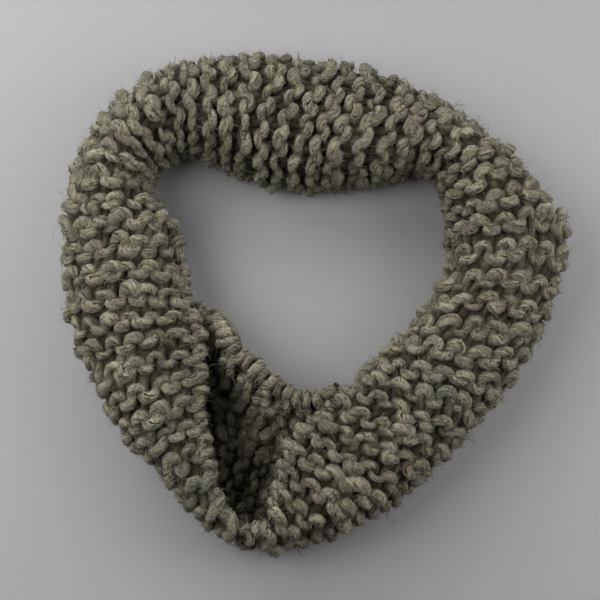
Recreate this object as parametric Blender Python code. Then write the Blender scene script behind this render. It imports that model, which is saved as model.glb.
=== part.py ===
"""Infinity scarf: a chunky garter-stitch ring lying in a soft triangle on a flat surface.

Tables are in millimetres, the scene is in metres. +Z is up and the open mouth of the roll
is towards -Y. The strip's wall is a loft of sections taken round the ring: each section runs
from the upper edge, over the top, round the outer fold, along the surface and up the hole
side to the lower edge.
"""

import math

import bpy
import numpy as np

MM = 0.001

# The knit
RIDGES = 56
RIDGE_PITCH = 12.0
INNER_FACE = 4.0
OUTER_FACE = 1.5
RIDGE_RISE = 4.0
SEAM_GAP = 0.3
EDGE_BEAD = 2.2
BEAD_LOW = 0.4
WALL_START = 0.70
WALL_EASE = 0.08
WALL_RISE = 0.25
REST_TILT = 0.6
REST_TILT_EASE = 0.3
REST_HEIGHT = 4.0
REST_HEIGHT_EASE = 3.0

# The section of the roll; names ending in SHARE are parts of its width or height
FLOOR_MID = 4.5
HALF_CLOTH = 5.5
LAYER_STEP = 13.0
LOWEST_EDGE = 9.0
EDGE_EASE = 0.18
CREST_REACH = 0.48
ROUNDNESS = 0.8
WIDEST_SHARE = 0.46
SHOULDER_IN_SHARE = 0.12
SHOULDER_DOWN_SHARE = 0.13
REST_OUT_SHARE = 0.13
REST_MIDDLE_SHARE = 0.62
REST_IN_SHARE = 0.10
LOW_WALL_SHARE = 0.30
LOW_WALL_LEAN = 1.0
TUCKED_WALL_SHARE = 0.47
TUCKED_WALL_LEAN = 0.5
EDGE_FOOT = 0.5
CONTROLS = 11
CURVE_POINTS = 30

# The open mouth's section: the upper layer's rise, then the lower layer from the outer fold
# to the wall as shares of the way in and of the wall's height
RIM_INSET = 3.0
MOUTH_WIDEST = 23.0
HUMP = 4.0
HUMP_SHARE = 0.08
UPPER_SPANS = 5
LOWER_IN = (0.10, 0.32, 0.56, 0.84, 1.0)
LOWER_RISE = (0.0, 0.0, 0.0, 0.45, 1.0)

# Grid of the reference surface
STEPS_PER_STATION = 10
STEPS_PER_SPAN = 8
ACROSS = 20
RINGS = (0.0, 0.3, 0.7)

# Plan shift that centres the whole part on the origin
CENTRE_X = 8.296
CENTRE_Y = 0.697

# Stations where both edges are tucked in on the hole side, clockwise from the far side:
# outer x, outer y, hole-side x, hole-side y, height, height of the upper edge
TUCKED = {
    0: (22, 133, 0, 63, 53, 9),
    1: (55, 123, 34, 66, 53, 9),
    2: (85, 106, 64, 72, 51, 9),
    3: (109, 88, 76, 63, 52, 9),
    4: (128, 66, 80, 48, 52, 9),
    5: (146, 39, 80, 33, 50, 9),
    6: (141, 9, 77, 10, 50, 9),
    7: (129, -21, 59, -17, 50, 9),
    8: (111, -49, 35, -38, 51, 18),
    9: (90, -73, 20, -47, 51, 37),
    19: (-127, 0, -52, -1, 52, 37),
    20: (-129, 28, -65, 36, 52, 18),
    21: (-127, 56, -79, 53, 53, 9),
    22: (-119, 85, -81, 66, 53, 9),
    23: (-102, 110, -76, 75, 54, 9),
    24: (-74, 129, -63, 83, 54, 9),
    25: (-47, 136, -43, 76, 53, 9),
    26: (-11, 137, -22, 66, 53, 9),
}

# Stations of the mouth, where the upper edge draws back from the hole side:
# outer x, outer y, rim x, rim y, rim z, wall x, wall y, wall z
MOUTH = {
    10: (74, -89, 10, -60, 44, 13, -47, 28),
    11: (53, -107, -5, -75, 43, 6, -50, 38),
    12: (21, -126, -13, -97, 40, -1, -50, 41),
    13: (-20, -135, -19, -120, 34, -7, -46, 43),
    14: (-45, -125, -40, -110, 36, -14, -40, 44),
    15: (-64, -107, -45, -88, 41, -20, -34, 44),
    16: (-85, -84, -48, -66, 43, -25, -30, 44),
    17: (-104, -59, -49, -40, 44, -31, -24, 44),
    18: (-118, -30, -49, -19, 44, -39, -10, 33),
}

STATIONS = len(TUCKED) + len(MOUTH)

# Ridges passed at each station, as counted along the top of the roll, back to the first
RIDGES_PASSED = (
    0.0, 3.0, 5.5, 7.3, 9.0, 10.6, 12.3, 14.4, 16.5, 18.3, 19.9, 21.9, 24.2, 26.8,
    28.9, 30.7, 32.5, 34.6, 36.7, 38.7, 41.1, 42.9, 44.6, 46.4, 48.5, 50.9, 53.5, 56.0,
)

# Creases across the roll: station, half width in stations, depth, first and last share across
CREASES = (
    (4.55, 0.20, 5.0, 0.02, 0.24),
    (19.45, 0.22, 3.5, 0.03, 0.22),
)

# Stretches of the strip: name, first trough, last trough
STRETCHES = (
    ("stretch_far", -7, 4),
    ("stretch_far_right", 4, 10),
    ("stretch_right", 10, 18),
    ("stretch_mouth_right", 18, 27),
    ("stretch_mouth_left", 27, 34),
    ("stretch_left", 34, 40),
    ("stretch_far_left", 40, 49),
)

WOOL = (0.118, 0.108, 0.082, 1.0)
WOOL_ROUGHNESS = 0.95


def unit(vector):
    return vector / np.linalg.norm(vector)


def hole_side(near, crest_reach, widest, crest, edge_z):
    """Three points, evenly spaced, from the upper edge up the hole side towards the crest."""
    turn = np.linspace(0.0, 0.5 * math.pi, CURVE_POINTS)
    reach = near + (crest_reach - near) * (1.0 - np.cos(turn) ** ROUNDNESS)
    rise = widest + (crest - widest) * np.sin(turn) ** ROUNDNESS
    reach = np.concatenate([[near + EDGE_FOOT], reach])
    rise = np.concatenate([[0.0], rise])
    length = np.concatenate([[0.0], np.cumsum(np.hypot(np.diff(reach), np.diff(rise)))])
    start = np.interp(edge_z, rise, length)
    wanted = start + (length[-1] - start) * np.array([0.0, 1.0, 2.0]) / 3.0
    return list(zip(np.interp(wanted, length, reach), np.interp(wanted, length, rise)))


def tucked_section(row):
    """Eleven points of the wall's middle line where the roll is closed."""
    outer = np.array(row[0:2], float)
    inner = np.array(row[2:4], float)
    height, edge_z = row[4], row[5]
    width = float(np.linalg.norm(outer - inner))
    along = (outer - inner) / width
    crest = height - HALF_CLOTH
    widest = WIDEST_SHARE * height
    near = HALF_CLOTH
    far = width - HALF_CLOTH
    wall = near + LAYER_STEP - EDGE_EASE * (edge_z - LOWEST_EDGE)
    table = (
        *hole_side(near, CREST_REACH * width, widest, crest, edge_z),
        (CREST_REACH * width, crest),
        (far - SHOULDER_IN_SHARE * width, crest - SHOULDER_DOWN_SHARE * height),
        (far, widest),
        (far - REST_OUT_SHARE * width, FLOOR_MID),
        (REST_MIDDLE_SHARE * width, FLOOR_MID),
        (wall + REST_IN_SHARE * width, FLOOR_MID),
        (wall + LOW_WALL_LEAN, LOW_WALL_SHARE * height),
        (wall + TUCKED_WALL_LEAN, TUCKED_WALL_SHARE * height),
    )
    points = np.empty((CONTROLS, 3))
    for k, (reach, z) in enumerate(table):
        points[k, :2] = inner + along * reach
        points[k, 2] = z
    return points


def mouth_section(row):
    """Eleven points of the wall's middle line where the roll stands open."""
    outer = np.array(row[0:2], float)
    rim = np.array(row[2:4], float)
    rim_z = row[4]
    wall = np.array(row[5:7], float)
    wall_z = row[7]
    top_way = unit(outer - rim)
    low_way = unit(outer - wall)
    outer = outer - HALF_CLOTH * top_way
    rim = rim + RIM_INSET * top_way
    wall = wall + HALF_CLOTH * low_way
    span = float(np.linalg.norm(outer - rim))
    hump = min(HUMP, HUMP_SHARE * span)
    points = np.empty((CONTROLS, 3))
    for k in range(UPPER_SPANS + 1):
        turn = 0.5 * math.pi * (UPPER_SPANS - k) / UPPER_SPANS
        reach = math.cos(turn) ** ROUNDNESS
        rise = math.sin(turn) ** ROUNDNESS
        points[k, :2] = rim + (outer - rim) * reach
        swell = hump * math.sin(math.pi * k / UPPER_SPANS)
        points[k, 2] = MOUTH_WIDEST + (rim_z - MOUTH_WIDEST) * rise + swell
    for k, (way_in, rise) in enumerate(zip(LOWER_IN, LOWER_RISE), start=UPPER_SPANS + 1):
        points[k, :2] = outer + (wall - outer) * way_in
        points[k, 2] = max(FLOOR_MID, rise * wall_z)
    return points


def through(p0, p1, p2, p3, t):
    """A point on the smooth curve through p1 and p2."""
    return 0.5 * (
        2.0 * p1
        + (p2 - p0) * t
        + (2.0 * p0 - 5.0 * p1 + 4.0 * p2 - p3) * t * t
        + (3.0 * p1 - p0 - 3.0 * p2 + p3) * t ** 3
    )


def reference_grid():
    """Middle surface of the strip: stations round the ring by equal steps across."""
    sections = []
    for index in range(STATIONS):
        if index in TUCKED:
            sections.append(tucked_section(TUCKED[index]))
        else:
            sections.append(mouth_section(MOUTH[index]))
    sections = np.array(sections)

    rows = []
    for index in range(STATIONS):
        four = [sections[(index + k) % STATIONS] for k in (-1, 0, 1, 2)]
        for step in range(STEPS_PER_STATION):
            rows.append(through(*four, step / STEPS_PER_STATION))
    rows = np.array(rows)

    first = 2.0 * rows[:, :1] - rows[:, 1:2]
    last = 2.0 * rows[:, -1:] - rows[:, -2:-1]
    padded = np.concatenate([first, rows, last], axis=1)
    dense = []
    for span in range(CONTROLS - 1):
        four = [padded[:, span + k] for k in range(4)]
        for step in range(STEPS_PER_SPAN):
            dense.append(through(*four, step / STEPS_PER_SPAN))
    dense.append(rows[:, -1])
    dense = np.stack(dense, axis=1)
    dense[:, :, 2] = np.maximum(dense[:, :, 2], FLOOR_MID)

    steps = np.linalg.norm(np.diff(dense, axis=1), axis=2)
    lengths = np.concatenate([np.zeros((len(dense), 1)), np.cumsum(steps, axis=1)], axis=1)
    shares = np.linspace(0.0, 1.0, 4 * ACROSS + 1)
    grid = np.empty((len(dense), len(shares), 3))
    for i in range(len(dense)):
        wanted = shares * lengths[i, -1]
        for axis in range(3):
            grid[i, :, axis] = np.interp(wanted, lengths[i], dense[i, :, axis])
    return grid, lengths[:, -1]


def grid_normals(grid):
    """Unit normals of the middle surface, pointing out of the roll."""
    around = np.roll(grid, -1, axis=0) - np.roll(grid, 1, axis=0)
    across = np.gradient(grid, axis=1)
    normal = np.cross(around, across)
    return normal / np.linalg.norm(normal, axis=2, keepdims=True)


def creased(grid, normals):
    """The middle surface with its deeper creases pressed in."""
    stations = np.arange(len(grid)) / STEPS_PER_STATION
    shares = np.linspace(0.0, 1.0, grid.shape[1])
    result = grid.copy()
    for centre, half, depth, first, last in CREASES:
        along = np.exp(-(((stations - centre) / half) ** 2))
        middle = 0.5 * (first + last)
        across = np.exp(-(((shares - middle) / (0.5 * (last - first))) ** 4))
        result -= normals * (depth * along[:, None] * across[None, :])[:, :, None]
    return result


def ridge_counts():
    """Ridge count at each row of the grid, and at the end of the last."""
    passed = RIDGES_PASSED[:-1]
    count = len(passed)
    result = []
    for index in range(count):
        four = []
        for k in (-1, 0, 1, 2):
            turns, place = divmod(index + k, count)
            four.append(passed[place] + turns * RIDGES)
        for step in range(STEPS_PER_STATION):
            result.append(through(*four, step / STEPS_PER_STATION))
    return np.array(result + [float(RIDGES)])


class Cloth:
    """The strip's middle surface, asked for by ridge count and share across."""

    def __init__(self):
        grid, self.widths = reference_grid()
        self.normals = grid_normals(grid)
        self.grid = creased(grid, self.normals)
        count = len(grid)
        self.stations = np.arange(count + 1) / STEPS_PER_STATION
        self.ridges = ridge_counts()

    def place(self, ridge, shares):
        """Middle points and normals of one ridge line at the given shares across."""
        turns = math.floor(ridge / RIDGES)
        station = np.interp(ridge - turns * RIDGES, self.ridges, self.stations)
        row = np.full(len(shares), station * STEPS_PER_STATION)
        column = shares * (self.grid.shape[1] - 1)
        return self.sample(self.grid, row, column), self.sample(self.normals, row, column)

    def sample(self, table, row, column):
        count = len(table)
        i = np.floor(row).astype(int)
        j = np.minimum(np.floor(column).astype(int), table.shape[1] - 2)
        s = (row - i)[..., None]
        t = (column - j)[..., None]
        a = table[i % count, j] * (1 - t) + table[i % count, j + 1] * t
        b = table[(i + 1) % count, j] * (1 - t) + table[(i + 1) % count, j + 1] * t
        return a * (1 - s) + b * s


def faces_between(first, second):
    """Triangles between two rows of vertex numbers of the same length."""
    faces = []
    for k in range(len(first) - 1):
        faces.append((first[k], second[k], second[k + 1]))
        faces.append((first[k], second[k + 1], first[k + 1]))
    return faces


def stretch_mesh(cloth, first, last):
    """Vertices and triangles of the closed wall between two troughs."""
    gap = 0.5 * SEAM_GAP / RIDGE_PITCH
    outer_rings = []
    for ridge in range(first, last):
        for place in RINGS:
            outer_rings.append((ridge + place, 0.0 if place == 0.0 else 1.0))
    outer_rings[0] = (first + gap, 0.0)
    outer_rings.append((last - gap, 0.0))
    inner_rings = [first + gap] + [float(k) for k in range(first + 1, last)] + [last - gap]

    shares = np.linspace(0.0, 1.0, ACROSS + 1)
    vertices = []
    outer = []
    for ridge, lifted in outer_rings:
        middle, normal = cloth.place(ridge, shares)
        fade = np.clip((WALL_START + WALL_EASE - shares) / WALL_EASE, WALL_RISE, 1.0)
        lift = OUTER_FACE + RIDGE_RISE * lifted * fade
        facing_down = np.clip((-normal[:, 2] - REST_TILT) / REST_TILT_EASE, 0.0, 1.0)
        near_floor = (FLOOR_MID + REST_HEIGHT - middle[:, 2]) / REST_HEIGHT_EASE
        resting = facing_down * np.clip(near_floor, 0.0, 1.0)
        to_floor = middle[:, 2] / np.maximum(-normal[:, 2], REST_TILT)
        offset = lift * (1.0 - resting) + to_floor * resting
        points = middle + normal * offset[:, None]
        points[:, 2] = np.maximum(points[:, 2], 0.0)
        edge_a = middle[0] - unit(middle[1] - middle[0]) * EDGE_BEAD * (BEAD_LOW + lifted)
        edge_b = middle[-1] + unit(middle[-1] - middle[-2]) * EDGE_BEAD * (BEAD_LOW + lifted)
        row = np.vstack([edge_a[None], points, edge_b[None]])
        outer.append(list(range(len(vertices), len(vertices) + len(row))))
        vertices.extend(row)
    inner = []
    for ridge in inner_rings:
        middle, normal = cloth.place(ridge, shares)
        row = middle - normal * INNER_FACE
        inner.append(list(range(len(vertices), len(vertices) + len(row))))
        vertices.extend(row)

    faces = []
    for a, b in zip(outer[:-1], outer[1:]):
        faces.extend(faces_between(a, b))
    for a, b in zip(inner[:-1], inner[1:]):
        faces.extend(tuple(reversed(face)) for face in faces_between(a, b))
    per = len(RINGS)
    for k in range(len(inner) - 1):
        for side, flip in ((0, True), (-1, False)):
            out = [outer[per * k + m][side] for m in range(per + 1)]
            low, high = inner[k][side], inner[k + 1][side]
            fan = [(low, out[0], out[1]), (low, out[1], high), (high, out[1], out[2]), (high, out[2], out[3])]
            for face in fan:
                faces.append(tuple(reversed(face)) if flip else face)
    for ring, plain, flip in ((outer[0], inner[0], True), (outer[-1], inner[-1], False)):
        cap = [(ring[0], plain[0], ring[1]), (ring[-1], ring[-2], plain[-1])]
        for k in range(ACROSS):
            cap.append((ring[k + 1], plain[k], plain[k + 1]))
            cap.append((ring[k + 1], plain[k + 1], ring[k + 2]))
        for face in cap:
            faces.append(tuple(reversed(face)) if flip else face)
    return np.array(vertices), faces


def clear_scene():
    for item in list(bpy.data.objects):
        bpy.data.objects.remove(item, do_unlink=True)


def wool(name):
    material = bpy.data.materials.new(name)
    material.use_nodes = True
    shader = material.node_tree.nodes["Principled BSDF"]
    shader.inputs["Base Color"].default_value = WOOL
    shader.inputs["Roughness"].default_value = WOOL_ROUGHNESS
    material.diffuse_color = WOOL
    return material


def main():
    clear_scene()
    collection = bpy.data.collections.new("infinity_scarf")
    bpy.context.scene.collection.children.link(collection)
    cloth = Cloth()
    for name, first, last in STRETCHES:
        vertices, faces = stretch_mesh(cloth, first, last)
        vertices[:, 0] -= CENTRE_X
        vertices[:, 1] -= CENTRE_Y
        mesh = bpy.data.meshes.new(name)
        mesh.from_pydata([tuple(p) for p in vertices * MM], [], faces)
        mesh.validate()
        mesh.update()
        mesh.materials.append(wool(name + "_wool"))
        item = bpy.data.objects.new(name, mesh)
        collection.objects.link(item)


main()
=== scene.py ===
"""Looks of the infinity scarf: garter stitch worked in one thick plied yarn over the frame's ring.

Tables are in millimetres, the scene is in metres.
"""

import math

import bpy
import numpy as np
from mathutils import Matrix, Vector


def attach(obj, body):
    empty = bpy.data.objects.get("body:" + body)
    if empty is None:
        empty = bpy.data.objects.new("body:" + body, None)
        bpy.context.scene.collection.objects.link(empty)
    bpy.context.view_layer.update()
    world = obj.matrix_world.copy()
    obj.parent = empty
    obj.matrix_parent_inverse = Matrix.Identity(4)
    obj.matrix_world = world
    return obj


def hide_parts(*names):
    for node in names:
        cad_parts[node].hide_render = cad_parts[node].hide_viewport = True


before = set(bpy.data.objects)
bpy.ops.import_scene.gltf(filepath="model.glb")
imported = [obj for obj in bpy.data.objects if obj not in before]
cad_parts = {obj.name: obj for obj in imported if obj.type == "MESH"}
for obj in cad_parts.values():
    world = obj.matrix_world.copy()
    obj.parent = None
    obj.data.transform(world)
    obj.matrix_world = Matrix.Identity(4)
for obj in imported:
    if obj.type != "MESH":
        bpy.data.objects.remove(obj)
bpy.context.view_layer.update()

MM = 0.001

# The knit
RIDGES = 56
RIDGE_PITCH = 12.0

# The section of the roll; names ending in SHARE are parts of its width or height
FLOOR_MID = 4.5
HALF_CLOTH = 5.5
LAYER_STEP = 13.0
LOWEST_EDGE = 9.0
EDGE_EASE = 0.18
CREST_REACH = 0.48
ROUNDNESS = 0.8
WIDEST_SHARE = 0.46
SHOULDER_IN_SHARE = 0.12
SHOULDER_DOWN_SHARE = 0.13
REST_OUT_SHARE = 0.13
REST_MIDDLE_SHARE = 0.62
REST_IN_SHARE = 0.10
LOW_WALL_SHARE = 0.30
LOW_WALL_LEAN = 1.0
TUCKED_WALL_SHARE = 0.47
TUCKED_WALL_LEAN = 0.5
EDGE_FOOT = 0.5
CONTROLS = 11
CURVE_POINTS = 30

# The open mouth's section: the upper layer's rise, then the lower layer's way in and rise as shares
RIM_INSET = 3.0
MOUTH_WIDEST = 23.0
HUMP = 4.0
HUMP_SHARE = 0.08
UPPER_SPANS = 5
LOWER_IN = (0.10, 0.32, 0.56, 0.84, 1.0)
LOWER_RISE = (0.0, 0.0, 0.0, 0.45, 1.0)

# Grid of the reference surface
STEPS_PER_STATION = 10
STEPS_PER_SPAN = 8
COLUMNS = 80

# Plan shift that centres the whole part on the origin
CENTRE_X = 8.296
CENTRE_Y = 0.697

# Stations with both edges tucked in, clockwise: outer x, y, hole-side x, y, height, upper edge's height
TUCKED = {
    0: (22, 133, 0, 63, 53, 9),
    1: (55, 123, 34, 66, 53, 9),
    2: (85, 106, 64, 72, 51, 9),
    3: (109, 88, 76, 63, 52, 9),
    4: (128, 66, 80, 48, 52, 9),
    5: (146, 39, 80, 33, 50, 9),
    6: (141, 9, 77, 10, 50, 9),
    7: (129, -21, 59, -17, 50, 9),
    8: (111, -49, 35, -38, 51, 18),
    9: (90, -73, 20, -47, 51, 37),
    19: (-127, 0, -52, -1, 52, 37),
    20: (-129, 28, -65, 36, 52, 18),
    21: (-127, 56, -79, 53, 53, 9),
    22: (-119, 85, -81, 66, 53, 9),
    23: (-102, 110, -76, 75, 54, 9),
    24: (-74, 129, -63, 83, 54, 9),
    25: (-47, 136, -43, 76, 53, 9),
    26: (-11, 137, -22, 66, 53, 9),
}

# Stations of the open mouth, clockwise: outer x, y, rim x, y, z, wall x, y, z
MOUTH = {
    10: (74, -89, 10, -60, 44, 13, -47, 28),
    11: (53, -107, -5, -75, 43, 6, -50, 38),
    12: (21, -126, -13, -97, 40, -1, -50, 41),
    13: (-20, -135, -19, -120, 34, -7, -46, 43),
    14: (-45, -125, -40, -110, 36, -14, -40, 44),
    15: (-64, -107, -45, -88, 41, -20, -34, 44),
    16: (-85, -84, -48, -66, 43, -25, -30, 44),
    17: (-104, -59, -49, -40, 44, -31, -24, 44),
    18: (-118, -30, -49, -19, 44, -39, -10, 33),
}

STATIONS = len(TUCKED) + len(MOUTH)

# Ridges passed at each station, as counted along the top of the roll, back to the first
RIDGES_PASSED = (
    0.0, 3.0, 5.5, 7.3, 9.0, 10.6, 12.3, 14.4, 16.5, 18.3, 19.9, 21.9, 24.2, 26.8,
    28.9, 30.7, 32.5, 34.6, 36.7, 38.7, 41.1, 42.9, 44.6, 46.4, 48.5, 50.9, 53.5, 56.0,
)

# Creases across the roll: station, half width in stations, depth, first and last share across
CREASES = (
    (4.55, 0.20, 5.0, 0.02, 0.24),
    (19.45, 0.22, 3.5, 0.03, 0.22),
)

# Stitches across the strip, and the shares of its section that show them at their own width
STITCHES = 14
STITCH = 11.1
VISIBLE_TOP = 0.52
VISIBLE_WALL = 0.33

# Stations between which the lower layer's ridges keep an even count of their own
EVEN_FROM = 5.0
EVEN_TO = 23.0
EVEN_FADE = 4.0

# Station where both counts agree, and the share across where the lower layer's comes in
PIVOT_STATION = 14
LOW_START = 0.45
LOW_BLEND = 0.25

# How far ridges stray from their places, and the part of it that passes on to the next ridge
RIDGE_WANDER = 0.16
WANDER_PASSED_ON = 0.4

# The loops of the worked yarn; half a row is in ridges
YARN = 2.8
HALF_ROW = 0.25
LOOP_APART = 2.8
APART_GROWTH = 0.5
LEAST_REACH = 0.05
MOST_REACH = 0.265
LOOP_LEAN = 1.75
CREST_DEPTH = 3.6
LEG_DEPTH = -0.8
THINNEST = 0.90
THICKEST = 1.14
END_SIZE = 0.75
END_GROWTH = 2.0

# How far the yarn strays from its loops, and its slow and short changes of thickness
APART_SPREAD = 0.60
LEAN_SPREAD = 0.045
SHIFT_SPREAD = 0.09
REACH_SPREAD = 0.03
CREST_SPREAD = 0.9
HEIGHT_SPREAD = 0.65
SLUB = 0.38
LUMPS = 0.34
LUMPY = 0.08

# Samples of the yarn along one stitch, and points round it
SAMPLES = 18
SIDES = 8

# The yarn turning at the ends of the rows: half width, half height, yarn radius, set back, lean in ridges
UPPER_TURN = (2.4, 2.6, 2.6, 1.2, 0.10)
LOWER_TURN = (2.6, 2.8, 2.6, 1.7, 0.09)
TURN_SAMPLES = 16
TURN_ANGLES = np.linspace(0.0, 2.0 * math.pi, TURN_SAMPLES, endpoint=False)
TURN_INSIDE = 0.4
TURN_SPREAD = 0.12
TURN_SLANT = 0.05
TURN_SHIFT = 0.04
TURN_OUT = 0.5
TURN_HEIGHT = 0.4
TURN_KNOTS = 4
TURN_SLUB = 0.08

# Painted shade on the worked yarn by how far it stands out of the cloth, darkest where it sinks in; on the
# inner face painted shade low down and painted light high up, by how high it lies
DEEP_LEVEL = 2.3
HIGH_LEVEL = 5.4
HOLLOW_LOW = 19.0
HOLLOW_RANGE = 13.0
PAINTED_INNER_SHADE = 0.65
PAINTED_INNER_LIGHT = 0.85

# Painted shade on the turned yarn, darker where it faces into the cloth and towards the turn's ends:
# sideways and facing out, then at the turn's ends and at its middle
SIDE_TONE = 0.25
FACING_TONE = 0.85
ENDS_TONE = 0.45
MIDDLE_TONE = 0.55
MIDDLE_REACH = 0.9

# Least heights above the surface, and the part of its radius to which yarn is pressed there
PRESSED = 0.8
YARN_FLOOR = 0.05
RIBBON_FLOOR = 0.1
GROUND_FLOOR = 1.2

# The fine ground between the stitches: a dark sheet painted as the shade between them
GROUND_HALF = 0.35
GROUND_MARGIN = 0.30
GROUND_ACROSS = 40

# Loose fibres; reach has the mean and spread of its logarithm, and its limits
FIBRES = 60000
EDGE_FIBRES = 0.08
FIBRE_WIDTH = 0.20
FIBRE_TAPER = 0.75
FIBRE_STEPS = 2
FIBRE_ROOT = 0.95
FIBRE_OUT = 0.9
FIBRE_DRIFT = 0.75
FIBRE_BEND = 0.45
FIBRE_REACH = (0.95, 0.60)
FIBRE_LIMITS = (0.8, 11.0)
LEAST_WEIGHT = 0.02

# Wiry curls; they turn at each step by an angle between two limits
CURLS = 6000
CURL_WIDTH = 0.42
CURL_TAPER = 0.6
CURL_STEPS = 8
CURL_ROOT = 0.9
CURL_DRIFT = 0.6
CURL_STRAY = 0.16
CURL_REACH = (1.85, 0.35)
CURL_TURN = (0.30, 0.95)

# Coloured flecks; their span is in samples along the yarn
FLECKS = 7000
FLECK_WIDTH = 0.48
FLECK_WIDTHS = (0.45, 1.25)
FLECK_TAPER = 0.12
FLECK_STEPS = 4
FLECK_SPAN = (2, 6)
FLECK_MARGIN = 8
FLECK_SLEW = 1.3
FLECK_LIFT = 0.12

# Stretches between two troughs, in ridges
STRETCHES = (
    ("far", -7, 4),
    ("far_right", 4, 10),
    ("right", 10, 18),
    ("mouth_right", 18, 27),
    ("mouth_left", 27, 34),
    ("left", 34, 40),
    ("far_left", 40, 49),
)
FIRST_SEED = 100
WANDER_SEED = 7

# The yarn's twist, its two plies and the parts by which they stray
TWIST_PITCH = 24.0
PLIES = 2.0
TWIST_STRAY = 0.30
PLY_STRAY = 9.0
UNEVEN_PART = 0.60

# Patterns twisted with the yarn: scale across and along it, offset, detail, roughness
STREAK = (3.2, 0.11, 0.0, 3.0, 0.6)
FINE = (8.0, 0.22, 40.0, 2.0, 0.6)
HEATHER = (1.1, 0.05, 80.0, 2.0, 0.5)
HEATHER_RANGE = (0.38, 0.62)
TAN_STRANDS = (1.6, 0.30, 130.0, 1.0, 0.5)
DARK_STRANDS = (1.5, 0.28, 190.0, 1.5, 0.5)

# Patterns through the whole cloth: scale, detail, roughness
STRAYING = (110.0, 1.0, 0.5)
GREENS = (55.0, 2.0, 0.5)
PINKS = (70.0, 1.0, 0.5)
SPECKS = (620.0, 2.0, 0.65)
REGIONS = (42.0, 2.0, 0.6)
UNEVEN = (140.0, 2.0, 0.5)
MOTTLE = (3.0, 0.6)
MOTTLE_RANGE = (0.40, 0.60)
NAP = (900.0, 2.0, 0.5)

# Wool colours, linear
LIGHT = (0.52, 0.495, 0.352, 1.0)
SHADE = (0.235, 0.222, 0.152, 1.0)
PALE = (0.52, 0.50, 0.42, 1.0)
# Painted light for the inner wall high in the open mouth
INNER_WALL_PAINTED_LIGHT = (0.78, 0.74, 0.58, 1.0)
GREEN = (0.27, 0.29, 0.22, 1.0)
PINK = (0.33, 0.26, 0.21, 1.0)
# Dark fibres, and also the painted shade in the yarn's valleys, ply grooves and low inner face
DARK_FIBRE_AND_SHADE = (0.060, 0.052, 0.030, 1.0)
TAN = (0.11, 0.070, 0.040, 1.0)
FLECK = (0.012, 0.010, 0.010, 1.0)
# Painted shade: the dark ground sheet between the stitches
SHADE_SHEET_DARK = (0.016, 0.014, 0.010, 1.0)
SHADE_SHEET_LIGHT = (0.040, 0.036, 0.026, 1.0)
CURL_DARK = (0.025, 0.021, 0.016, 1.0)
CURL_LIGHT = (0.10, 0.085, 0.060, 1.0)
FIBRE_DARK = (0.16, 0.14, 0.11, 1.0)
FIBRE_LIGHT = (0.42, 0.39, 0.31, 1.0)

# The pale floor
FLOOR_SIZE = 6.0
FLOOR_Z = -0.0003
FLOOR_MOTTLE = (6.0, 2.0, 0.5)
FLOOR_SHADE = (0.441, 0.438, 0.453, 1.0)
FLOOR_LIGHT = (0.461, 0.458, 0.473, 1.0)

# Sky and lights
SKY = 0.03
SKY_COLOUR = (0.93, 0.96, 1.0, 1.0)
LIGHT_LEVEL = 0.97
LIGHT_COLOUR = (1.0, 0.995, 0.99)
# Name, azimuth and height in degrees, distance, size, power
LIGHTS = (
    ("window_upper_left", 135.0, 30.0, 0.75, 0.5, 2.31),
    ("ceiling_left", 180.0, 55.0, 0.75, 0.5, 1.98),
    ("wall_right", 0.0, 30.0, 0.75, 0.5, 1.94),
    ("window_far", 90.0, 30.0, 2.50, 1.6, 12.2),
    ("window_far_left", 135.0, 30.0, 2.50, 1.6, 2.2),
    ("wall_far_right", 45.0, 30.0, 0.75, 0.5, 0.83),
    ("wall_left", 180.0, 30.0, 0.75, 0.5, 0.63),
    ("ceiling_right", 0.0, 55.0, 0.75, 0.5, 0.58),
)

# Camera: distance, width seen at that distance, height angle in degrees, height looked at
CAMERA_AWAY = 0.90
CAMERA_SPAN = 0.3248
CAMERA_HEIGHT_ANGLE = 80.0
CAMERA_TARGET_HEIGHT = 0.025
CAMERA_NEAR = 0.01
SENSOR = 36.0


def unit(vector):
    """One vector, at length one."""
    return vector / np.linalg.norm(vector)


def directions(vectors):
    """Vectors along the last axis, each at length one."""
    return vectors / np.linalg.norm(vectors, axis=-1, keepdims=True)


def eased(share):
    """A share from 0 to 1 that starts and ends softly."""
    return share * share * (3.0 - 2.0 * share)


def hole_side(near, crest_reach, widest, crest, edge_z):
    """Three points, evenly spaced, from the upper edge up the hole side towards the crest."""
    turn = np.linspace(0.0, 0.5 * math.pi, CURVE_POINTS)
    reach = near + (crest_reach - near) * (1.0 - np.cos(turn) ** ROUNDNESS)
    rise = widest + (crest - widest) * np.sin(turn) ** ROUNDNESS
    reach = np.concatenate([[near + EDGE_FOOT], reach])
    rise = np.concatenate([[0.0], rise])
    length = np.concatenate([[0.0], np.cumsum(np.hypot(np.diff(reach), np.diff(rise)))])
    start = np.interp(edge_z, rise, length)
    wanted = start + (length[-1] - start) * np.array([0.0, 1.0, 2.0]) / 3.0
    return list(zip(np.interp(wanted, length, reach), np.interp(wanted, length, rise)))


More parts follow.
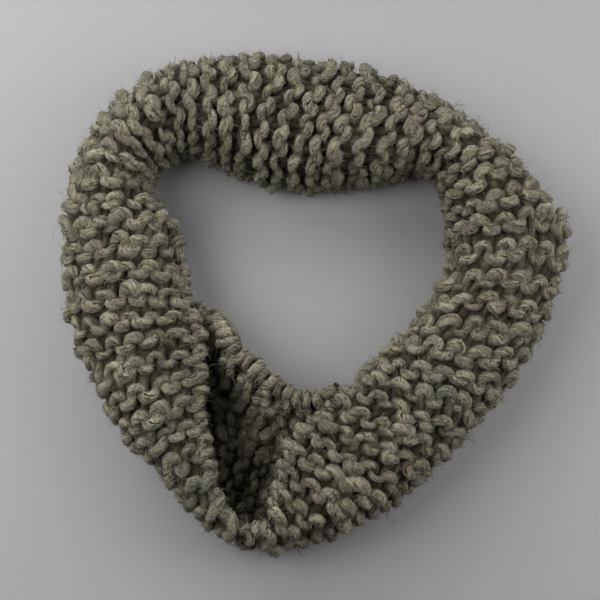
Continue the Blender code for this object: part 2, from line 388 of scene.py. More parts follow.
def tucked_section(row):
    """Eleven points of the wall's middle line where the roll is closed."""
    outer = np.array(row[0:2], float)
    inner = np.array(row[2:4], float)
    height, edge_z = row[4], row[5]
    width = float(np.linalg.norm(outer - inner))
    along = (outer - inner) / width
    crest = height - HALF_CLOTH
    widest = WIDEST_SHARE * height
    near = HALF_CLOTH
    far = width - HALF_CLOTH
    wall = near + LAYER_STEP - EDGE_EASE * (edge_z - LOWEST_EDGE)
    table = (
        *hole_side(near, CREST_REACH * width, widest, crest, edge_z),
        (CREST_REACH * width, crest),
        (far - SHOULDER_IN_SHARE * width, crest - SHOULDER_DOWN_SHARE * height),
        (far, widest),
        (far - REST_OUT_SHARE * width, FLOOR_MID),
        (REST_MIDDLE_SHARE * width, FLOOR_MID),
        (wall + REST_IN_SHARE * width, FLOOR_MID),
        (wall + LOW_WALL_LEAN, LOW_WALL_SHARE * height),
        (wall + TUCKED_WALL_LEAN, TUCKED_WALL_SHARE * height),
    )
    points = np.empty((CONTROLS, 3))
    for k, (reach, z) in enumerate(table):
        points[k, :2] = inner + along * reach
        points[k, 2] = z
    return points


def mouth_section(row):
    """Eleven points of the wall's middle line where the roll stands open."""
    outer = np.array(row[0:2], float)
    rim = np.array(row[2:4], float)
    rim_z = row[4]
    wall = np.array(row[5:7], float)
    wall_z = row[7]
    top_way = unit(outer - rim)
    low_way = unit(outer - wall)
    outer = outer - HALF_CLOTH * top_way
    rim = rim + RIM_INSET * top_way
    wall = wall + HALF_CLOTH * low_way
    span = float(np.linalg.norm(outer - rim))
    hump = min(HUMP, HUMP_SHARE * span)
    points = np.empty((CONTROLS, 3))
    for k in range(UPPER_SPANS + 1):
        turn = 0.5 * math.pi * (UPPER_SPANS - k) / UPPER_SPANS
        reach = math.cos(turn) ** ROUNDNESS
        rise = math.sin(turn) ** ROUNDNESS
        points[k, :2] = rim + (outer - rim) * reach
        swell = hump * math.sin(math.pi * k / UPPER_SPANS)
        points[k, 2] = MOUTH_WIDEST + (rim_z - MOUTH_WIDEST) * rise + swell
    for k, (way_in, rise) in enumerate(zip(LOWER_IN, LOWER_RISE), start=UPPER_SPANS + 1):
        points[k, :2] = outer + (wall - outer) * way_in
        points[k, 2] = max(FLOOR_MID, rise * wall_z)
    return points


def through(p0, p1, p2, p3, t):
    """A point on the smooth curve through p1 and p2."""
    return 0.5 * (
        2.0 * p1
        + (p2 - p0) * t
        + (2.0 * p0 - 5.0 * p1 + 4.0 * p2 - p3) * t * t
        + (3.0 * p1 - p0 - 3.0 * p2 + p3) * t ** 3
    )


def reference_grid():
    """Middle surface of the strip: stations round the ring by equal steps across."""
    sections = []
    for index in range(STATIONS):
        if index in TUCKED:
            sections.append(tucked_section(TUCKED[index]))
        else:
            sections.append(mouth_section(MOUTH[index]))
    sections = np.array(sections)

    rows = []
    for index in range(STATIONS):
        four = [sections[(index + k) % STATIONS] for k in (-1, 0, 1, 2)]
        for step in range(STEPS_PER_STATION):
            rows.append(through(*four, step / STEPS_PER_STATION))
    rows = np.array(rows)

    first = 2.0 * rows[:, :1] - rows[:, 1:2]
    last = 2.0 * rows[:, -1:] - rows[:, -2:-1]
    padded = np.concatenate([first, rows, last], axis=1)
    dense = []
    for span in range(CONTROLS - 1):
        four = [padded[:, span + k] for k in range(4)]
        for step in range(STEPS_PER_SPAN):
            dense.append(through(*four, step / STEPS_PER_SPAN))
    dense.append(rows[:, -1])
    dense = np.stack(dense, axis=1)
    dense[:, :, 2] = np.maximum(dense[:, :, 2], FLOOR_MID)

    steps = np.linalg.norm(np.diff(dense, axis=1), axis=2)
    lengths = np.concatenate([np.zeros((len(dense), 1)), np.cumsum(steps, axis=1)], axis=1)
    shares = np.linspace(0.0, 1.0, COLUMNS + 1)
    grid = np.empty((len(dense), len(shares), 3))
    for i in range(len(dense)):
        wanted = shares * lengths[i, -1]
        for axis in range(3):
            grid[i, :, axis] = np.interp(wanted, lengths[i], dense[i, :, axis])
    return grid, lengths[:, -1]


def grid_normals(grid):
    """Unit normals of the middle surface, pointing out of the roll."""
    around = np.roll(grid, -1, axis=0) - np.roll(grid, 1, axis=0)
    across = np.gradient(grid, axis=1)
    return directions(np.cross(around, across))


def creased(grid, normals):
    """The middle surface with its deeper creases pressed in."""
    stations = np.arange(len(grid)) / STEPS_PER_STATION
    shares = np.linspace(0.0, 1.0, grid.shape[1])
    result = grid.copy()
    for centre, half, depth, first, last in CREASES:
        along = np.exp(-(((stations - centre) / half) ** 2))
        middle = 0.5 * (first + last)
        across = np.exp(-(((shares - middle) / (0.5 * (last - first))) ** 4))
        result -= normals * (depth * along[:, None] * across[None, :])[:, :, None]
    return result


def ridge_counts():
    """Ridge count at each row of the grid, and at the end of the last."""
    passed = RIDGES_PASSED[:-1]
    count = len(passed)
    result = []
    for index in range(count):
        four = []
        for k in (-1, 0, 1, 2):
            turns, place = divmod(index + k, count)
            four.append(passed[place] + turns * RIDGES)
        for step in range(STEPS_PER_STATION):
            result.append(through(*four, step / STEPS_PER_STATION))
    return np.array(result + [float(RIDGES)])


class Cloth:
    """The strip's middle surface, with a ridge count at each row of its grid."""

    def __init__(self):
        grid, self.widths = reference_grid()
        self.normals = grid_normals(grid)
        self.grid = creased(grid, self.normals)
        self.stations = np.arange(len(grid) + 1) / STEPS_PER_STATION
        self.ridges = ridge_counts()

    def sample(self, table, row, column):
        """A table of the grid read between its rows and columns."""
        count = len(table)
        i = np.floor(row).astype(int)
        j = np.minimum(np.floor(column).astype(int), table.shape[1] - 2)
        s = (row - i)[..., None]
        t = (column - j)[..., None]
        a = table[i % count, j] * (1 - t) + table[i % count, j + 1] * t
        b = table[(i + 1) % count, j] * (1 - t) + table[(i + 1) % count, j + 1] * t
        return a * (1 - s) + b * s


def even_counts(line):
    """Ridge count at each row of the grid, even along a line round the ring."""
    steps = np.linalg.norm(np.roll(line, -1, axis=0) - line, axis=1)
    length = np.concatenate([[0.0], np.cumsum(steps)])
    return length / length[-1] * RIDGES


class Knit:
    """The middle surface asked for by ridge count and stitch count."""

    def __init__(self):
        self.cloth = Cloth()
        top = self.cloth.ridges
        low = even_counts(self.cloth.grid[:, -1])
        pivot = PIVOT_STATION * STEPS_PER_STATION
        low = low - low[pivot] + top[pivot]
        stations = self.cloth.stations
        near = np.clip((stations - EVEN_FROM) / EVEN_FADE, 0.0, 1.0)
        away = np.clip((EVEN_TO - stations) / EVEN_FADE, 0.0, 1.0)
        self.low = top + (low - top) * (eased(near) * eased(away))
        loose = np.random.default_rng(WANDER_SEED).normal(0.0, RIDGE_WANDER, (RIDGES, STITCHES + 2))
        self.loose = (1.0 - WANDER_PASSED_ON) * loose + WANDER_PASSED_ON * np.roll(loose, 1, axis=0)

    def wander(self, ridge, stitch):
        """How far the ridges stray from their even places."""
        row = np.floor(ridge).astype(int)
        column = np.clip(np.floor(stitch).astype(int), 0, STITCHES)
        down = eased(ridge - row)
        over = eased(stitch - column)

        def across(index):
            """How far one ridge strays at the stitch counts."""
            line = index % RIDGES
            return self.loose[line, column] * (1.0 - over) + self.loose[line, column + 1] * over

        return across(row) * (1.0 - down) + across(row + 1) * down

    def station(self, ridge, table):
        """Station at a ridge count, by a table of the counts round the ring."""
        turns = np.floor(ridge / RIDGES)
        return np.interp(ridge - turns * RIDGES, table, self.cloth.stations) + turns * STATIONS

    def place(self, ridge, stitch):
        """Points and outward normals, in millimetres, at ridge and stitch counts."""
        top = self.station(ridge, self.cloth.ridges)
        width = np.interp(top, self.cloth.stations[:-1], self.cloth.widths, period=STATIONS)
        pitch = 0.5 * (STITCH + width / STITCHES)

        # Stitches keep their width on the visible top and wall, and share out the rest between them
        knee = VISIBLE_TOP * width / pitch
        rise = STITCHES - VISIBLE_WALL * width / pitch
        hidden = 1.0 - VISIBLE_TOP - VISIBLE_WALL
        under = VISIBLE_TOP + (stitch - knee) / (rise - knee) * hidden
        share = np.where(stitch < knee, stitch * pitch / width, under)
        share = np.where(stitch > rise, 1.0 - (STITCHES - stitch) * pitch / width, share)
        share = np.clip(share, 0.0, 1.0)

        # The lower layer follows its own ridge count
        blend = eased(np.clip((share - LOW_START) / LOW_BLEND, 0.0, 1.0))
        low = self.station(ridge, self.low)
        row = (top * (1.0 - blend) + low * blend) * STEPS_PER_STATION
        column = share * COLUMNS
        points = self.cloth.sample(self.cloth.grid, row, column)
        normals = directions(self.cloth.sample(self.cloth.normals, row, column))
        return points - np.array([CENTRE_X, CENTRE_Y, 0.0]), normals


def tubes(centres, normals, radii, closed):
    """Vertices, faces, yarn coordinates and outward directions of tubes along rows of centres."""
    rows, length = centres.shape[:2]
    if closed:
        tangent = np.roll(centres, -1, axis=1) - np.roll(centres, 1, axis=1)
        steps = np.linalg.norm(np.roll(centres, -1, axis=1) - centres, axis=2)
    else:
        tangent = np.gradient(centres, axis=1)
        steps = np.linalg.norm(np.diff(centres, axis=1, append=centres[:, -1:]), axis=2)
    tangent = directions(tangent)
    side = directions(np.cross(tangent, normals))
    up = np.cross(side, tangent)
    turn = np.arange(SIDES) * 2.0 * math.pi / SIDES
    ring = (side[:, :, None] * np.cos(turn)[None, None, :, None]
            + up[:, :, None] * np.sin(turn)[None, None, :, None])
    lumps = np.random.default_rng(rows).normal(1.0, LUMPY, (rows, length, SIDES))
    points = centres[:, :, None] + ring * (radii[:, :, None] * lumps)[..., None]
    points[..., 2] = np.maximum(points[..., 2], YARN_FLOOR)

    index = np.arange(rows * length * SIDES).reshape(rows, length, SIDES)
    after = np.roll(index, -1, axis=1) if closed else index[:, 1:]
    here = index if closed else index[:, :-1]
    faces = np.stack([here, np.roll(here, -1, axis=2), np.roll(after, -1, axis=2), after], axis=-1)

    along = np.repeat((np.cumsum(steps, axis=1) - steps[:, :1])[:, :, None], SIDES, axis=2)
    around = np.broadcast_to((np.arange(SIDES) / SIDES)[None, None, :], along.shape)
    if closed:
        whole = steps.sum(axis=1)[:, None, None]
        start, end = along, np.concatenate([along[:, 1:], along[:, :1] + whole], axis=1)
        left = around
    else:
        start, end = along[:, :-1], along[:, 1:]
        left = around[:, :-1]
    right = left + 1.0 / SIDES
    coordinates = np.stack(
        [np.stack([start, left], -1), np.stack([start, right], -1),
         np.stack([end, right], -1), np.stack([end, left], -1)], axis=-2)
    return points.reshape(-1, 3), faces.reshape(-1, 4), coordinates.reshape(-1, 2), ring


def mesh_object(name, look, points, faces, smooth=False, coordinates=None, painted_shading=None):
    """A mesh in one wool from arrays in millimetres, with faces all of one length."""
    sides = faces.shape[1]
    mesh = bpy.data.meshes.new(name)
    mesh.vertices.add(len(points))
    mesh.vertices.foreach_set("co", (points * MM).astype(np.float32).ravel())
    mesh.loops.add(faces.size)
    mesh.loops.foreach_set("vertex_index", faces.astype(np.int32).ravel())
    mesh.polygons.add(len(faces))
    mesh.polygons.foreach_set("loop_start", np.arange(0, faces.size, sides, dtype=np.int32))
    mesh.polygons.foreach_set("use_smooth", np.full(len(faces), smooth))
    if coordinates is not None:
        layer = mesh.uv_layers.new(name="Strand")
        layer.data.foreach_set("uv", coordinates.astype(np.float32).ravel())
    # The painted shade and painted light go on each point
    if painted_shading is not None:
        painted_shade = mesh.attributes.new("PaintedShading", "FLOAT", "POINT")
        painted_shade.data.foreach_set("value", painted_shading.astype(np.float32))
    mesh.update(calc_edges=True)
    mesh.materials.append(look)
    item = bpy.data.objects.new(name, mesh)
    bpy.context.scene.collection.objects.link(item)
    return item


def wandering(rng, rows, knots, positions, reach):
    """Smooth random values: one run of knots for each row, read at the given positions."""
    values = rng.normal(0.0, reach, (rows, knots + 2))
    base = np.floor(positions).astype(int)
    share = eased(positions - base)
    base = np.clip(base, 0, knots)
    return values[:, base] * (1.0 - share) + values[:, base + 1] * share


def yarn_rows(knit, rng, first, last):
    """Centres, normals, radii and heights of the rows of stitches between two troughs."""
    rows = np.arange(2 * first, 2 * last)
    turn = np.linspace(0.0, 2.0 * math.pi * STITCHES, STITCHES * SAMPLES + 1)
    stitch = turn / (2.0 * math.pi)

    def stray(per_stitch, reach):
        """Values that wander, with so many knots to a stitch."""
        return wandering(rng, len(rows), per_stitch * STITCHES, per_stitch * stitch, reach)

    sign = np.where(rows % 2 == 0, -1.0, 1.0)[:, None]
    lean = LOOP_LEAN / STITCH + stray(2, LEAN_SPREAD)
    shift = stray(1, SHIFT_SPREAD)
    centre = rows[:, None] / 2.0 + HALF_ROW
    line = np.broadcast_to(centre, (len(rows), len(turn)))
    before, _ = knit.place(line - 2.0 * HALF_ROW, np.broadcast_to(stitch, line.shape))
    after, _ = knit.place(line + 2.0 * HALF_ROW, np.broadcast_to(stitch, line.shape))
    pitch = np.linalg.norm(after - before, axis=2)
    apart = LOOP_APART + APART_GROWTH * (pitch - RIDGE_PITCH) + stray(2, APART_SPREAD)
    reach = HALF_ROW + np.clip(apart / pitch, LEAST_REACH, MOST_REACH)

    # The loops' tops lie at the crest, and a sixth of a turn on their legs pass at the leg depth
    crest = CREST_DEPTH + stray(2, CREST_SPREAD)
    slow = (crest - LEG_DEPTH) / 1.5
    across = np.clip(stitch[None] + lean * np.sin(2.0 * turn)[None] + shift, 0.0, STITCHES)
    along = centre + reach * np.cos(turn)[None] + stray(1, REACH_SPREAD)
    along = along + knit.wander(along, across)
    height = -sign * (slow * np.cos(turn)[None] + (crest - slow) * np.cos(3.0 * turn)[None])
    height = height + stray(5, HEIGHT_SPREAD)
    points, normals = knit.place(along, across)

    radii = YARN * np.clip(pitch / RIDGE_PITCH, THINNEST, THICKEST) + stray(1, SLUB)
    radii = radii + stray(5, LUMPS)
    ends = np.minimum(stitch, STITCHES - stitch)
    radii = radii * np.clip(END_SIZE + END_GROWTH * ends, 0.0, 1.0)[None]
    return points + normals * height[:, :, None], normals, radii, height


def row_turns(knit, rng, first, last, upper):
    """Centres, outward directions and radii of the yarn where each row turns at the edge."""
    rows = np.arange(2 * first, 2 * last)

    def stray(reach):
        """One random value for each row."""
        return rng.normal(0.0, reach, (len(rows), 1))

    edge, inside = (0.0, TURN_INSIDE) if upper else (float(STITCHES), STITCHES - TURN_INSIDE)
    half, rise, yarn, back, lean = UPPER_TURN if upper else LOWER_TURN
    cos, sin = np.cos(TURN_ANGLES), np.sin(TURN_ANGLES)
    size = 1.0 + stray(TURN_SPREAD)
    slant = lean * np.where(rows % 2 == 0, 1.0, -1.0)[:, None] + stray(TURN_SLANT)
    ridge = rows[:, None] / 2.0 + HALF_ROW + slant * cos[None] + stray(TURN_SHIFT)
    points, normals = knit.place(ridge, np.full(ridge.shape, edge))
    within, _ = knit.place(ridge, np.full(ridge.shape, inside))
    out = directions(points - within)
    sideways = (half * size * cos[None] - back + stray(TURN_OUT))[:, :, None]
    height = (rise * size * sin[None] + stray(TURN_HEIGHT))[:, :, None]
    facing = directions(out * cos[None, :, None] + normals * sin[None, :, None])
    slub = 1.0 + wandering(rng, len(rows), TURN_KNOTS, TURN_KNOTS * (0.5 - 0.5 * cos), TURN_SLUB)
    return points + out * sideways + normals * height, facing, yarn * size * slub


def on_surface(points, radii):
    """Yarn pressed flat where it meets the surface the scarf lies on."""
    pressed = points.copy()
    pressed[..., 2] = np.maximum(pressed[..., 2], radii * PRESSED)
    return pressed


def painted_depth_shading(centres, height, radii, normals, ring):
    """Painted shade for each point of the yarn by how far it stands out of the cloth, darkest where it sinks
    in; on the inner face painted shade low down and painted light high up, by how high it lies.
    """
    rise = height[:, :, None] + radii[:, :, None] * np.sum(ring * normals[:, :, None], axis=3)
    painted_shading = np.clip((np.abs(rise) - DEEP_LEVEL) / (HIGH_LEVEL - DEEP_LEVEL), 0.0, 1.0)
    open_air = np.clip((centres[:, :, None, 2] - HOLLOW_LOW) / HOLLOW_RANGE, 0.0, 1.0)
    return np.where(rise < 0.0, painted_shading * (PAINTED_INNER_SHADE + PAINTED_INNER_LIGHT * open_air), painted_shading).ravel()


def painted_turn_shading(outward, ring):
    """How far the turned yarn faces out of the cloth, less towards the ends of the turn, as painted shade:
    darker where it faces in and at the turn's ends.
    """
    facing = np.sum(ring * outward[:, :, None], axis=3)
    middle = np.clip(MIDDLE_REACH + np.cos(TURN_ANGLES), 0.0, 1.0)[None, :, None]
    painted_shading = (SIDE_TONE + FACING_TONE * facing) * (ENDS_TONE + MIDDLE_TONE * middle)
    return np.clip(painted_shading, 0.0, 1.0).ravel()


def standing(rng, painted_shading, shape, count):
    """Places on the yarn, more of them where it stands out of the cloth."""
    weight = painted_shading.reshape(shape) ** 2 + LEAST_WEIGHT
    picked = rng.choice(weight.size, count, p=(weight / weight.sum()).ravel())
    return np.unravel_index(picked, shape)


def both_sides(spot, across, width):
    """The two sides of a ribbon at one step."""
    return np.stack([spot - across * width * 0.5, spot + across * width * 0.5], axis=1)


def ribbons(points):
    """Vertices and faces of ribbons from their two sides at each step."""
    points[..., 2] = np.maximum(points[..., 2], RIBBON_FLOOR)
    index = np.arange(points[..., 0].size).reshape(points.shape[:3])
    faces = np.stack([index[:, :-1, 0], index[:, 1:, 0], index[:, 1:, 1], index[:, :-1, 1]], axis=-1)
    return points.reshape(-1, 3), faces.reshape(-1, 4)


def fibres(rng, centres, ring, radii, painted_shading, count):
    """Ribbons standing off the yarn."""
    i, j, k = standing(rng, painted_shading, ring.shape[:3], count)
    out = ring[i, j, k]
    spot = centres[i, j] + out * radii[i, j][:, None] * FIBRE_ROOT
    drift = rng.normal(0.0, 1.0, (count, 3))
    way = directions(out * FIBRE_OUT + drift * FIBRE_DRIFT)
    bend = rng.normal(0.0, 1.0, (count, 3))
    reach = np.clip(rng.lognormal(*FIBRE_REACH, count), *FIBRE_LIMITS)
    face = directions(np.cross(way, rng.normal(0.0, 1.0, (count, 3))))
    points = np.empty((count, FIBRE_STEPS + 1, 2, 3))
    for step in range(FIBRE_STEPS + 1):
        thin = FIBRE_WIDTH * (1.0 - FIBRE_TAPER * step / FIBRE_STEPS)
        points[:, step] = both_sides(spot, face, thin)
        way = directions(way + bend * FIBRE_BEND)
        spot = spot + way * (reach / FIBRE_STEPS)[:, None]
    return ribbons(points)


def curls(rng, centres, ring, radii, painted_shading, count):
    """Long wiry hairs that curl away from the yarn."""
    i, j, k = standing(rng, painted_shading, ring.shape[:3], count)
    out = ring[i, j, k]
    spot = centres[i, j] + out * radii[i, j][:, None] * CURL_ROOT
    way = directions(out + rng.normal(0.0, CURL_DRIFT, (count, 3)))
    axis = directions(rng.normal(0.0, 1.0, (count, 3)))
    reach = rng.lognormal(*CURL_REACH, count)
    turn = rng.uniform(*CURL_TURN, count)
    face = directions(np.cross(way, axis))
    points = np.empty((count, CURL_STEPS + 1, 2, 3))
    for step in range(CURL_STEPS + 1):
        thin = CURL_WIDTH * (1.0 - CURL_TAPER * step / CURL_STEPS)
        points[:, step] = both_sides(spot, face, thin)
        way = way * np.cos(turn)[:, None] + np.cross(axis, way) * np.sin(turn)[:, None]
        way = directions(way + rng.normal(0.0, CURL_STRAY, (count, 3)))
        spot = spot + way * (reach / CURL_STEPS)[:, None]
    return ribbons(points)


def flecks(rng, centres, ring, radii, count):
    """Coloured fibres caught flat along the yarn."""
    rows, length = centres.shape[:2]
    span = rng.integers(*FLECK_SPAN, count)
    i = rng.integers(0, rows, count)
    j = rng.integers(0, length - FLECK_MARGIN, count)
    k = rng.uniform(0.0, SIDES, count)
    slew = rng.normal(0.0, FLECK_SLEW, count)
    width = FLECK_WIDTH * rng.uniform(*FLECK_WIDTHS, count)
    points = np.empty((count, FLECK_STEPS + 1, 2, 3))
    for step in range(FLECK_STEPS + 1):
        share = step / FLECK_STEPS
        place = j + span * share
        base = np.floor(place).astype(int)
        part = (place - base)[:, None]
        around = np.mod(k + slew * share, SIDES)
        low = np.floor(around).astype(int) % SIDES
        high = (low + 1) % SIDES
        mix = (around - np.floor(around))[:, None]
        out = directions(ring[i, base, low] * (1.0 - mix) + ring[i, base, high] * mix)
        centre = centres[i, base] * (1.0 - part) + centres[i, base + 1] * part
        spot = centre + out * (radii[i, base][:, None] + FLECK_LIFT)
        side = directions(np.cross(centres[i, base + 1] - centres[i, base], out))
        swell = math.sin(math.pi * (FLECK_TAPER + (1.0 - 2.0 * FLECK_TAPER) * share))
        points[:, step] = both_sides(spot, side, (width * swell)[:, None])
    return ribbons(points)


def ground(knit):
    """The closed fine cloth that fills the strip between its stitches, in dark wool as painted shade between
    them.
    """
    ridges = np.arange(0, 2 * RIDGES) / 2.0
    stitches = np.linspace(GROUND_MARGIN, STITCHES - GROUND_MARGIN, GROUND_ACROSS + 1)
    ridge, stitch = np.meshgrid(ridges, stitches, indexing="ij")
    points, normals = knit.place(ridge, stitch)
    points[..., 2] = np.maximum(points[..., 2], GROUND_FLOOR)
    outer = points + normals * GROUND_HALF
    inner = points - normals * GROUND_HALF
    rows, columns = ridge.shape
    vertices = np.concatenate([outer.reshape(-1, 3), inner.reshape(-1, 3)])
    index = np.arange(rows * columns).reshape(rows, columns)
    after = np.roll(index, -1, axis=0)
    step = rows * columns
    top = np.stack([index[:, :-1], after[:, :-1], after[:, 1:], index[:, 1:]], -1).reshape(-1, 4)
    low = top[:, ::-1] + step
    first = np.stack([index[:, 0], index[:, 0] + step, after[:, 0] + step, after[:, 0]], -1)
    last = np.stack([index[:, -1], after[:, -1], after[:, -1] + step, index[:, -1] + step], -1)
    return vertices, np.concatenate([top, low, first, last])


class Nodes:
    """A material whose nodes are added and linked in short steps."""

    def __init__(self, name):
        self.material = bpy.data.materials.new(name)
        self.material.use_nodes = True
        self.tree = self.material.node_tree
        self.shader = self.tree.nodes["Principled BSDF"]

    def set(self, socket, value):
        """A socket linked to another or given a value of its own."""
        if isinstance(value, bpy.types.NodeSocket):
            self.tree.links.new(value, socket)
        else:
            socket.default_value = value

    def put(self, kind, values=(), **settings):
        """A new node with its settings and the values of its inputs."""
        node = self.tree.nodes.new(kind)
        for key, value in settings.items():
            setattr(node, key, value)
        for key, value in dict(values).items():
            self.set(node.inputs[key], value)
        return node

    def math(self, operation, a, b=0.0):
        """Two values worked into one."""
        return self.put("ShaderNodeMath", {0: a, 1: b}, operation=operation).outputs[0]

    def mix(self, factor, a, b):
        """A colour between two others."""
        node = self.put("ShaderNodeMix", data_type="RGBA")
        for name, kind, value in (("Factor", "VALUE", factor), ("A", "RGBA", a), ("B", "RGBA", b)):
            self.set([s for s in node.inputs if s.name == name and s.type == kind][0], value)
        return [s for s in node.outputs if s.type == "RGBA"][0]

    def ramp(self, value, low, high):
        """A value that runs from 0 at low to 1 at high."""
        return self.put("ShaderNodeMapRange", {"Value": value, "From Min": low, "From Max": high}).outputs[0]

    def noise(self, vector, scale, detail, rough):
        """Soft noise at the given scale."""
        return self.put("ShaderNodeTexNoise", {"Vector": vector, "Scale": scale, "Detail": detail,
                                               "Roughness": rough}).outputs["Fac"]

    def vector(self, x, y, z):
        """Three values as one place."""
        return self.put("ShaderNodeCombineXYZ", {0: x, 1: y, 2: z}).outputs[0]

    def bump(self, height, strength, distance):
        """The surface raised by a height, on the shader."""
        raised = self.put("ShaderNodeBump", {"Height": height, "Strength": strength, "Distance": distance})
        self.tree.links.new(raised.outputs[0], self.shader.inputs["Normal"])


def wool(name):
    """Loosely twisted heather wool with dark and coloured flecks, and painted shade and painted light from
    the yarn's shading attribute.
    """
    n = Nodes(name)
    strand = n.put("ShaderNodeUVMap", uv_map="Strand").outputs[0]
    parts = n.put("ShaderNodeSeparateXYZ", {0: strand})
    along, around = parts.outputs[0], parts.outputs[1]
    place = n.put("ShaderNodeTexCoord").outputs["Object"]
    # Painted shade and painted light from the mesh
    painted_shade = n.put("ShaderNodeAttribute", attribute_name="PaintedShading").outputs["Fac"]
    stray = n.math("MULTIPLY", n.math("SUBTRACT", n.noise(place, *STRAYING), 0.5), TWIST_STRAY)
    twist = n.math("ADD", n.math("ADD", around, stray), n.math("MULTIPLY", along, 1.0 / TWIST_PITCH))
    angle = n.math("MULTIPLY", twist, 2.0 * math.pi)
    east, north = n.math("COSINE", angle), n.math("SINE", angle)

    def twisted(across, length, offset, detail, rough):
        """Noise that runs along the yarn and turns with its twist."""
        spot = n.vector(n.math("MULTIPLY", east, across), n.math("MULTIPLY", north, across),
                        n.math("ADD", n.math("MULTIPLY", along, length), offset))
        return n.noise(spot, 1.0, detail, rough)

    streak, fine, heather = twisted(*STREAK), twisted(*FINE), twisted(*HEATHER)
    turned = n.math("ADD", n.math("MULTIPLY", angle, PLIES), n.math("MULTIPLY", heather, PLY_STRAY))
    ply = n.math("COSINE", turned)
    speck = n.noise(place, *SPECKS)
    uneven = n.math("MULTIPLY", n.math("SUBTRACT", n.noise(place, *UNEVEN), 0.5), UNEVEN_PART)

    # Pattern, where its colour begins, where it is full, how much of it, the colour
    colour = n.mix(n.ramp(heather, *HEATHER_RANGE), SHADE, LIGHT)
    for pattern, begins, full, most, tint in (
        # Painted light on the inner wall high in the mouth
        (painted_shade, 1.0, 1.5, 0.95, INNER_WALL_PAINTED_LIGHT),
        (n.noise(place, *GREENS), 0.52, 0.70, 0.70, GREEN),
        (n.noise(place, *PINKS), 0.56, 0.72, 0.70, PINK),
        (streak, 0.58, 0.36, 0.52, DARK_FIBRE_AND_SHADE),
        # Painted shade in the grooves between the plies
        (ply, -0.50, -0.95, 0.40, DARK_FIBRE_AND_SHADE),
        (fine, 0.50, 0.30, 0.42, DARK_FIBRE_AND_SHADE),
        (fine, 0.54, 0.72, 0.40, PALE),
        (speck, 0.48, 0.34, 0.80, DARK_FIBRE_AND_SHADE),
        (speck, 0.58, 0.76, 0.25, PALE),
        (twisted(*TAN_STRANDS), 0.680, 0.715, 1.00, TAN),
        (twisted(*DARK_STRANDS), 0.680, 0.705, 1.00, FLECK),
        # Painted shade where the yarn sinks into the cloth and low on the inner face
        (n.math("ADD", painted_shade, uneven), 0.78, 0.06, 1.00, DARK_FIBRE_AND_SHADE),
        (n.noise(place, *REGIONS), 0.48, 0.30, 0.36, DARK_FIBRE_AND_SHADE),
    ):
        colour = n.mix(n.math("MULTIPLY", n.ramp(pattern, begins, full), most), colour, tint)
    n.tree.links.new(colour, n.shader.inputs["Base Color"])

    # Pattern and its part in the relief
    relief = n.math("MULTIPLY", streak, 0.8)
    for pattern, most in ((fine, 0.5), (ply, 0.25), (speck, 0.45)):
        relief = n.math("ADD", relief, n.math("MULTIPLY", pattern, most))
    n.bump(relief, strength=0.9, distance=0.0010)
    n.shader.inputs["Roughness"].default_value = 0.95
    n.shader.inputs["Specular IOR Level"].default_value = 0.15
    n.shader.inputs["Sheen Weight"].default_value = 0.12
    n.shader.inputs["Sheen Roughness"].default_value = 0.5
    return n.material


def plain_wool(name, first, second, scale):
    """Wool with a soft mottle, for the ground and the loose fibres."""
    n = Nodes(name)
    place = n.put("ShaderNodeTexCoord").outputs["Object"]
    mottle = n.noise(place, scale, *MOTTLE)
    colour = n.mix(n.ramp(mottle, *MOTTLE_RANGE), first, second)
    n.tree.links.new(colour, n.shader.inputs["Base Color"])
    n.shader.inputs["Roughness"].default_value = 1.0
    n.shader.inputs["Specular IOR Level"].default_value = 0.1
    n.bump(n.noise(place, *NAP), strength=0.6, distance=0.0006)
    return n.material


def stretch(knit, looks, rng, name, first, last):
    """The pieces of one stretch of the strip: yarn, turned edges, fibres, curls and flecks."""
    share = (last - first) / RIDGES
    made = []

    def add(kind, look, *parts):
        """One more piece of the stretch, in its wool."""
        made.append(mesh_object(kind + "_" + name, looks[look], *parts))

    centres, normals, radii, height = yarn_rows(knit, rng, first, last)
    centres = on_surface(centres, radii)
    points, faces, coordinates, ring = tubes(centres, normals, radii, False)
    # Painted shade and painted light of the yarn, from how it lies in the cloth
    painted_shading = painted_depth_shading(centres, height, radii, normals, ring)
    add("yarn", "yarn", points, faces, True, coordinates, painted_shading)

    both = [row_turns(knit, rng, first, last, upper) for upper in (True, False)]
    middles, outward, sizes = (np.concatenate(part) for part in zip(*both))
    middles = on_surface(middles, sizes)
    points, faces, coordinates, edge_ring = tubes(middles, outward, sizes, True)
    # Painted shade on the turned yarn
    edge_painted_shading = painted_turn_shading(outward, edge_ring)
    add("edge", "yarn", points, faces, True, coordinates, edge_painted_shading)

    points, faces = fibres(rng, centres, ring, radii, painted_shading, int(FIBRES * share))
    edge_count = int(EDGE_FIBRES * FIBRES * share)
    edge_points, edge_faces = fibres(rng, middles, edge_ring, sizes, edge_painted_shading, edge_count)
    edge_faces = edge_faces + len(points)
    add("fibres", "fibre", np.concatenate([points, edge_points]), np.concatenate([faces, edge_faces]))

    add("curls", "curl", *curls(rng, centres, ring, radii, painted_shading, int(CURLS * share)))
    add("flecks", "fleck", *flecks(rng, centres, ring, radii, int(FLECKS * share)))
    return made


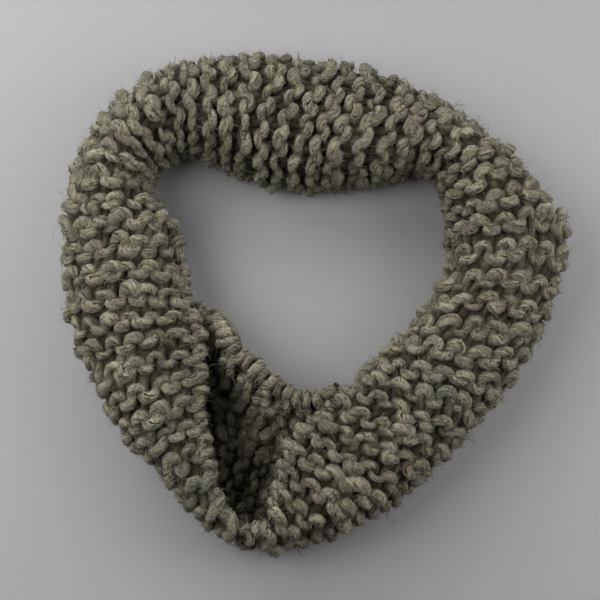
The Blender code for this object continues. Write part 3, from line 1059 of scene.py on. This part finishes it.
def build():
    """The whole scarf, on the frame's one body."""
    knit = Knit()
    looks = {
        "yarn": wool("yarn_wool"),
        # The ground sheet's wool is dark as painted shade between the stitches
        "ground": plain_wool("ground_painted_shade", SHADE_SHEET_DARK, SHADE_SHEET_LIGHT, scale=220.0),
        "fibre": plain_wool("fibre_wool", FIBRE_DARK, FIBRE_LIGHT, scale=160.0),
        "curl": plain_wool("curl_wool", CURL_DARK, CURL_LIGHT, scale=90.0),
        "fleck": plain_wool("fleck_wool", FLECK, TAN, scale=130.0),
    }
    base = mesh_object("ground", looks["ground"], *ground(knit), True)
    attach(base, "root")
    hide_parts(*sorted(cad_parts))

    made = []
    for number, (name, first, last) in enumerate(STRETCHES):
        made += stretch(knit, looks, np.random.default_rng(FIRST_SEED + number), name, first, last)
    for piece in made:
        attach(piece, "root")


def surroundings():
    """The pale floor, the sky and the lights round the scarf."""
    bpy.ops.mesh.primitive_plane_add(size=FLOOR_SIZE, location=(0.0, 0.0, FLOOR_Z))
    floor = bpy.context.object
    floor.name = "floor"
    n = Nodes("pale_floor")
    place = n.put("ShaderNodeTexCoord").outputs["Object"]
    colour = n.mix(n.noise(place, *FLOOR_MOTTLE), FLOOR_SHADE, FLOOR_LIGHT)
    n.tree.links.new(colour, n.shader.inputs["Base Color"])
    n.shader.inputs["Roughness"].default_value = 0.55
    floor.data.materials.append(n.material)

    world = bpy.data.worlds.new("studio")
    world.use_nodes = True
    world.node_tree.nodes["Background"].inputs["Color"].default_value = SKY_COLOUR
    world.node_tree.nodes["Background"].inputs["Strength"].default_value = SKY
    bpy.context.scene.world = world

    for name, azimuth, height, away, size, power in LIGHTS:
        turn, lift = math.radians(azimuth), math.radians(height)
        way = (math.cos(turn) * math.cos(lift), math.sin(turn) * math.cos(lift), math.sin(lift))
        add_light(name, power * LIGHT_LEVEL, size, tuple(away * step for step in way))


def add_light(name, power, size, place):
    """A round light turned to the middle of the scarf."""
    light = bpy.data.lights.new(name, "AREA")
    light.shape = "DISK"
    light.size = size
    light.energy = power
    light.color = LIGHT_COLOUR
    lamp = bpy.data.objects.new(name, light)
    bpy.context.scene.collection.objects.link(lamp)
    aim(lamp, place, (0.0, 0.0, 0.0))


def aim(item, place, target):
    """An item put in one place and turned to another."""
    item.location = place
    way = Vector(target) - Vector(place)
    item.rotation_euler = way.to_track_quat("-Z", "Y").to_euler()


def set_camera():
    """The view from above, a little towards the near side."""
    camera = bpy.data.cameras.new("camera")
    camera.sensor_width = SENSOR
    camera.lens = SENSOR * CAMERA_AWAY / CAMERA_SPAN
    camera.clip_start = CAMERA_NEAR
    item = bpy.data.objects.new("camera", camera)
    bpy.context.scene.collection.objects.link(item)
    tilt = math.radians(CAMERA_HEIGHT_ANGLE)
    target = (-CENTRE_X * MM, -CENTRE_Y * MM, CAMERA_TARGET_HEIGHT)
    place = (target[0], target[1] - CAMERA_AWAY * math.cos(tilt), target[2] + CAMERA_AWAY * math.sin(tilt))
    aim(item, place, target)
    bpy.context.scene.camera = item
    bpy.context.scene.view_settings.view_transform = "Standard"


build()
surroundings()
set_camera()
